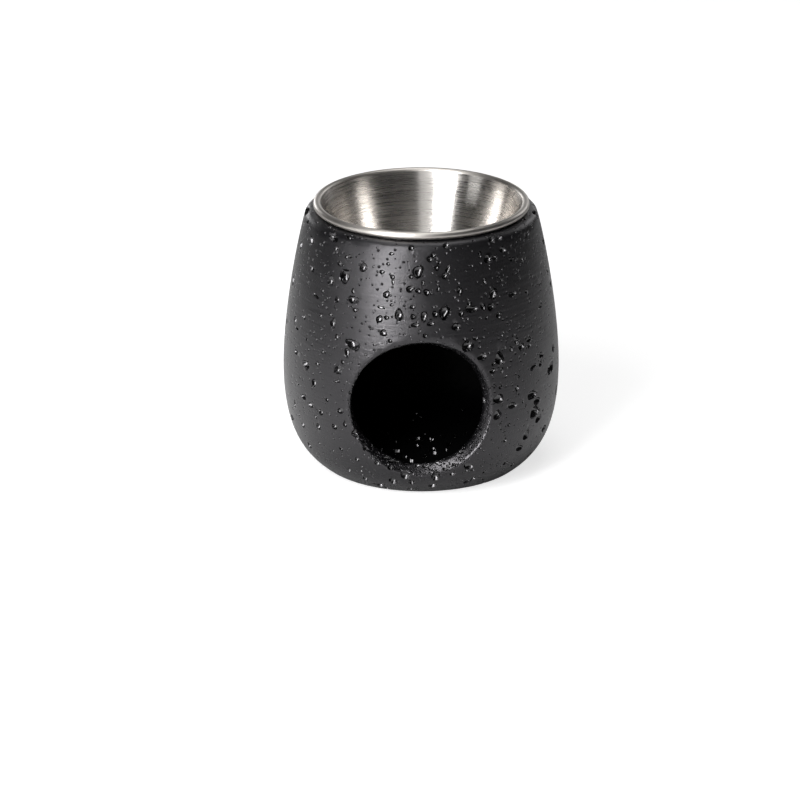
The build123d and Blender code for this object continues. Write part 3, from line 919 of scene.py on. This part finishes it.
lavaGlaze = dict(
    color=(0.0022, 0.0022, 0.0026, 1),
    paleColor=(0.0048, 0.0047, 0.0052, 1),
    # painted shade: the colour inside the pits is darker, standing in for the shade that falls in them
    pitShadeColor=(0.0003, 0.0003, 0.0003, 1),
    paleFrom=(0.35, 0.65),  # where the patches begin to turn pale and are full
    ior=1.58,
    tint=(0.985, 0.955, 1.0, 1),
    roughness=0.355,
    roughnessSpread=0.12,
    cutRoughness=0.26,
    pitRoughness=0.15,
    coatRoughness=0.08,     # of the thicker glaze that has run into the pits
    grain=0.08,             # heights in millimetres
    turning=0.09,
    pinholes=0.40,
    cutPinholes=0.38,
    grainSize=1800.0,
    patchSize=70.0,
    ringScale=600.0,
    wander=3.0,
    holes=(640.0, 0.35, 0.7),  # how many to the metre, their reach, and the share of places that has one
    specks=(1300.0, 0.45, 0.85),
    holeGloss=3.0,          # how quickly a pinhole takes the pits' roughness
)
# Inside the chamber: bare, matt ceramic whose colour is darker than the glaze's, as painted shade of the
# chamber
bareShadedInside = dict(
    color=(0.0010, 0.0010, 0.0011, 1),
    paleColor=(0.0018, 0.0018, 0.0019, 1),
    roughness=0.62,
    roughnessSpread=0.2,
    specular=0.05,
    bump=(0.6, 0.1 * mm),   # strength and height
    skinReach=0.8 * mm,     # from the inner wall, up to which a face is part of the chamber
    rimGap=3 * mm,          # below the rim, where the glaze ends
    mouthEdge=1.5,          # times throatRounding, the glazed edge about the throat
    pitted=0.5,
    pitHeight=0.3 * mm,     # above the floor, up to which a pit keeps its glaze
    floorHeight=0.6,        # share of floorCorner
    floorRadius=0.97,       # share of openingRadius
)
brushedSteel = dict(
    color=(0.67, 0.643, 0.615, 1),
    roughness=0.27,
    anisotropic=0.88,
    ringScale=2000.0,
    brushing=0.28,
)
satinLip = dict(
    color=(0.585, 0.555, 0.52, 1),
    roughness=0.40,
    anisotropic=0.35,
    ringScale=3000.0,
    brushing=0.12,
)
brushes = dict(
    wander=0.8,
    roughnessSpread=0.26,
    depth=0.03 * mm,
    turned=0.25,            # of a full turn
    lipEdge=1.05,           # times lipRadius, up to which the lip's own steel reaches
)


def groupNode(tree, group, values):
    return addNode(tree, "ShaderNodeGroup", values, node_tree=group)


def ceramicGrain(tree, spot):
    values = {"Vector": spot, "Grain Size": lavaGlaze["grainSize"], "Patch Size": lavaGlaze["patchSize"]}
    return groupNode(tree, grainGroup, values).outputs


def pinholesAt(tree, spot, count, reach, share):
    values = {"Vector": spot, "Holes": count, "Reach": reach, "Share": share}
    return groupNode(tree, pinholeGroup, values).outputs[0]


def ringsAt(tree, spot, scale, wander):
    values = {"Vector": spot, "Ring Scale": scale, "Wander": wander}
    return groupNode(tree, ringGroup, values).outputs["Rings"]


def maskAt(tree, name):  # what pressPits has written to the jar's points
    return addNode(tree, "ShaderNodeAttribute", attribute_name=name).outputs["Fac"]


def makeLavaMaterial():
    glaze = lavaGlaze
    material, tree, shader = newMaterial("lavaGlaze")
    spot = addNode(tree, "ShaderNodeTexCoord").outputs["Object"]
    grain = ceramicGrain(tree, spot)
    rings = ringsAt(tree, spot, glaze["ringScale"], glaze["wander"])
    holes = pinholesAt(tree, spot, *glaze["holes"])
    specks = pinholesAt(tree, spot, *glaze["specks"])
    pitted, onCut = maskAt(tree, "pitted"), maskAt(tree, "mouthCut")
    specks = product(tree, specks, onCut)
    start, end = glaze["paleFrom"]
    values = {"Value": grain["Patches"], "From Min": start, "From Max": end}
    pale = addNode(tree, "ShaderNodeMapRange", values).outputs[0]
    color = blend(tree, pale, glaze["color"], glaze["paleColor"], "RGBA")
    # painted shade: the pits take a darker colour where shade falls in them
    feed(tree, shader.inputs["Base Color"], blend(tree, pitted, color, glaze["pitShadeColor"], "RGBA"))
    rough = uneven(tree, grain["Patches"], glaze["roughness"], glaze["roughnessSpread"])
    rough = blend(tree, onCut, rough, glaze["cutRoughness"])
    inHoles = product(tree, mathNode(tree, "ADD", holes, specks), glaze["holeGloss"])
    hollow = mathNode(tree, "MAXIMUM", pitted, inHoles, clamp=True)
    rough = blend(tree, hollow, rough, mathNode(tree, "MINIMUM", rough, glaze["pitRoughness"]))
    feed(tree, shader.inputs["Roughness"], rough)
    shader.inputs["IOR"].default_value = glaze["ior"]
    shader.inputs["Specular Tint"].default_value = glaze["tint"]
    feed(tree, shader.inputs["Coat Weight"], pitted)
    shader.inputs["Coat Roughness"].default_value = glaze["coatRoughness"]
    graining = product(tree, grain["Grain"], glaze["grain"])
    height = mathNode(tree, "ADD", graining, product(tree, rings, glaze["turning"]))
    height = mathNode(tree, "SUBTRACT", height, product(tree, holes, glaze["pinholes"]))
    height = mathNode(tree, "SUBTRACT", height, product(tree, specks, glaze["cutPinholes"]))
    feed(tree, shader.inputs["Normal"], bumpNode(tree, height, 1.0, mm))
    return material


def makeInsideMaterial():  # bare, matt ceramic inside the chamber, its colour darkened as painted shade
    material, tree, shader = newMaterial("bareShadedInside")
    spot = addNode(tree, "ShaderNodeTexCoord").outputs["Object"]
    grain = ceramicGrain(tree, spot)
    color = blend(tree, grain["Patches"], bareShadedInside["color"], bareShadedInside["paleColor"], "RGBA")
    feed(tree, shader.inputs["Base Color"], color)
    rough = uneven(tree, grain["Grain"], bareShadedInside["roughness"], bareShadedInside["roughnessSpread"])
    feed(tree, shader.inputs["Roughness"], rough)
    shader.inputs["Specular IOR Level"].default_value = bareShadedInside["specular"]
    feed(tree, shader.inputs["Normal"], bumpNode(tree, grain["Grain"], *bareShadedInside["bump"]))
    return material


def makeSteelMaterial(name, steel):
    material, tree, shader = newMaterial(name)
    spot = addNode(tree, "ShaderNodeTexCoord").outputs["Object"]
    rings = ringsAt(tree, spot, steel["ringScale"], brushes["wander"])
    shader.inputs["Metallic"].default_value = 1.0
    shader.inputs["Anisotropic"].default_value = steel["anisotropic"]
    shader.inputs["Base Color"].default_value = steel["color"]
    tangent = addNode(tree, "ShaderNodeTangent", direction_type="RADIAL", axis="Z")
    feed(tree, shader.inputs["Tangent"], tangent.outputs[0])
    shader.inputs["Anisotropic Rotation"].default_value = brushes["turned"]
    rough = uneven(tree, rings, steel["roughness"], brushes["roughnessSpread"])
    feed(tree, shader.inputs["Roughness"], rough)
    feed(tree, shader.inputs["Normal"], bumpNode(tree, rings, steel["brushing"], brushes["depth"]))
    return material


def setMaterial(piece, material):
    piece.data.materials.clear()
    piece.data.materials.append(material)


lavaMaterial = makeLavaMaterial()
steelMaterial = makeSteelMaterial("brushedSteel", brushedSteel)
setMaterial(jarPiece, lavaMaterial)
jarPiece.data.materials.append(makeInsideMaterial())


def paintInside(piece):  # the chamber is bare and darkened as painted shade, but its mouth and the pits in its floor keep the glaze
    centers, _lengths, _sides = faceReader(piece)
    radius, height = np.hypot(centers[:, 0], centers[:, 1]), centers[:, 2]
    hollow = (radius - innerRadius(height)) * onWall(innerWall, height, 2)
    throatEdge = jar["throatRadius"] + bareShadedInside["mouthEdge"] * jar["throatRounding"]
    mouth = (offThroat(centers) < throatEdge) & (centers[:, 1] < 0)
    inside = (height > jar["floor"] / 2) & (height < jar["height"] - bareShadedInside["rimGap"])
    inside &= hollow < bareShadedInside["skinReach"]
    pitted = np.array([entry.value for entry in piece.data.attributes["pitted"].data])
    corners = np.array([pitted[list(face.vertices)].mean() for face in piece.data.polygons])
    inPit = (corners > bareShadedInside["pitted"]) & (height < jar["floor"] + bareShadedInside["pitHeight"])
    floorTop = height < jar["floor"] + bareShadedInside["floorHeight"] * jar["floorCorner"]
    floorTop &= radius < bareShadedInside["floorRadius"] * jar["openingRadius"]
    bare = inside & ~inPit & (~mouth | floorTop)
    piece.data.polygons.foreach_set("material_index", bare.astype(int))


paintInside(jarPiece)
setMaterial(dishPiece, steelMaterial)
dishPiece.data.materials.append(makeSteelMaterial("satinLip", satinLip))


def paintLip(piece):  # the rolled lip takes the second steel
    centers, _lengths, _sides = faceReader(piece)
    lip = np.array((dishHigh[0] - dish["lipRadius"], dishHigh[2] - dish["lipRadius"]))
    away = np.hypot(np.hypot(centers[:, 0], centers[:, 1]) - lip[0], centers[:, 2] - lip[1])
    onLip = away < brushes["lipEdge"] * dish["lipRadius"]
    piece.data.polygons.foreach_set("material_index", onLip.astype(int))


paintLip(dishPiece)
for node, material in (("ceramic_body", lavaMaterial), ("oil_dish", steelMaterial)):
    setMaterial(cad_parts[node], material)
print("materials made")

makeActive(jarPiece)
bpy.ops.object.shade_smooth_by_angle(angle=math.radians(jar["smoothAngle"]))
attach(jarPiece, "jar")
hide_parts("ceramic_body")
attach(dishPiece, "dish")
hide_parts("oil_dish")


# Floor, backdrop colour and lamps

studio = dict(
    floorSize=6.0,
    floorColor=(0.6, 0.6, 0.6, 1),
    floorRoughness=0.9,
    floorGlow=0.70,
    mirroredGlow=0.78,      # share of the floor's glow that is seen in mirrors
    farSide=(0.10, 0.46),   # metres to the right by which the floor's glow in mirrors falls to the second number, a painted falloff of the light
    contact=(0.034, 0.080),  # metres from the jar's axis, where the jar's shade on the floor is full and ends
    glowFalloff=(0.15, 0.45),  # metres from the axis, where the floor's glow in mirrors begins to fade and ends, a painted falloff of the lamps' light far off
    backdropTurn=-9,        # degrees from straight behind to the middle of the white backdrop
    backdropEdge=(52, 15),  # degrees from that middle, where the white backdrop begins and is full
    backdropTop=(27, 6),    # degrees up, where it ends and where it is full
    roomColor=(0.35, 0.35, 0.36, 1),
    roomStrength=0.08,
    white=(1, 1, 1, 1),
)
lamps = {  # degrees round from the camera to the right, degrees up, metres off, metres wide and high, watts
    "keySoftbox": (-30, 28, 0.9, 0.33, 0.92, 10.2),
    "fillSoftbox": (-5, 40, 0.9, 0.24, 0.80, 0.6),
    "lowSoftbox": (-32, 4, 0.9, 0.42, 0.16, 2.3),
    "leftSoftbox": (-66, 8, 0.9, 0.24, 0.20, 0.5),
    "backLeftSoftbox": (-152, 8, 0.9, 0.30, 0.24, 0.6),
    "backRightSoftbox": (140, 25, 0.9, 0.30, 0.40, 0.6),
    "topSoftbox": (180, 82, 1.1, 0.80, 0.80, 4.0),
}


def inMirrors(tree, path):  # 1 for a ray that comes by a mirror or through glass
    glossy, through = path.outputs["Is Glossy Ray"], path.outputs["Is Transmission Ray"]
    return mathNode(tree, "ADD", glossy, through, clamp=True)


def makeFloor():
    deselectAll()
    bpy.ops.mesh.primitive_plane_add(size=studio["floorSize"])
    floor = bpy.context.object
    floor.name = "paleFloor"
    material, tree, shader = newMaterial("paleFloor")
    shader.inputs["Base Color"].default_value = studio["floorColor"]
    shader.inputs["Roughness"].default_value = studio["floorRoughness"]
    shader.inputs["Specular IOR Level"].default_value = 0.0
    path = addNode(tree, "ShaderNodeLightPath")
    spot = addNode(tree, "ShaderNodeTexCoord").outputs["Object"]
    away = addNode(tree, "ShaderNodeVectorMath", {0: spot}, operation="LENGTH").outputs["Value"]
    # Painted light in the floor's glow that mirrors show: it fades far from the jar and towards the right as
    # painted falloff of the lamps' light, and near the jar as painted shade
    start, end = studio["glowFalloff"]
    near = fade(tree, away, end, start)
    shade = fade(tree, away, *studio["contact"])
    aside = addNode(tree, "ShaderNodeSeparateXYZ", {0: spot}).outputs["X"]
    reach, least = studio["farSide"]
    values = {"Value": aside, "From Min": 0.0, "From Max": reach, "To Min": 1.0, "To Max": least}
    lit = addNode(tree, "ShaderNodeMapRange", values).outputs[0]
    mirrored = product(tree, inMirrors(tree, path), near, shade, lit, studio["mirroredGlow"])
    seen = mathNode(tree, "ADD", path.outputs["Is Camera Ray"], mirrored, clamp=True)
    shader.inputs["Emission Color"].default_value = studio["white"]
    feed(tree, shader.inputs["Emission Strength"], product(tree, seen, studio["floorGlow"]))
    setMaterial(floor, material)


def makeRoom():
    world = bpy.data.worlds.new("studioRoom")
    bpy.context.scene.world = world
    world.use_nodes = True
    tree = world.node_tree
    tree.nodes.clear()
    path = addNode(tree, "ShaderNodeLightPath")
    toward = addNode(tree, "ShaderNodeTexCoord").outputs["Generated"]
    level = addNode(tree, "ShaderNodeVectorMath", {0: toward, 1: (1, 1, 0)}, operation="MULTIPLY").outputs[0]
    level = addNode(tree, "ShaderNodeVectorMath", {0: level}, operation="NORMALIZE").outputs[0]
    turn = math.radians(studio["backdropTurn"])
    values = {0: level, 1: (math.sin(turn), math.cos(turn), 0)}
    behind = addNode(tree, "ShaderNodeVectorMath", values, operation="DOT_PRODUCT").outputs["Value"]
    backdrop = fade(tree, behind, *(math.cos(math.radians(angle)) for angle in studio["backdropEdge"]))
    height = addNode(tree, "ShaderNodeSeparateXYZ", {0: toward}).outputs["Z"]
    below = fade(tree, height, *(math.sin(math.radians(angle)) for angle in studio["backdropTop"]))
    mirrored = product(tree, inMirrors(tree, path), backdrop, below)
    seen = mathNode(tree, "ADD", path.outputs["Is Camera Ray"], mirrored, clamp=True)
    white, dim = (
        addNode(tree, "ShaderNodeBackground", {"Color": color, "Strength": strength}).outputs[0]
        for color, strength in ((studio["white"], 1.0), (studio["roomColor"], studio["roomStrength"]))
    )
    mix = addNode(tree, "ShaderNodeMixShader", {0: seen, 1: dim, 2: white})
    addNode(tree, "ShaderNodeOutputWorld", {"Surface": mix.outputs[0]})


def hangLamp(name, around, up, away, wide, high, watts):
    lamp = bpy.data.lights.new(name, "AREA")
    lamp.shape = "RECTANGLE"
    lamp.size, lamp.size_y, lamp.energy = wide, high, watts
    piece = bpy.data.objects.new(name, lamp)
    bpy.context.scene.collection.objects.link(piece)
    turn, rise = math.radians(around), math.radians(up)
    aim = Vector((math.sin(turn) * math.cos(rise), -math.cos(turn) * math.cos(rise), math.sin(rise)))
    piece.location = Vector((0, 0, jar["height"] / 2)) + aim * away
    piece.rotation_euler = aim.to_track_quat("Z", "Y").to_euler()


makeFloor()
makeRoom()
for name, lamp in lamps.items():
    hangLamp(name, *lamp)
bpy.context.scene.view_settings.view_transform = "Standard"
print("studio lit")
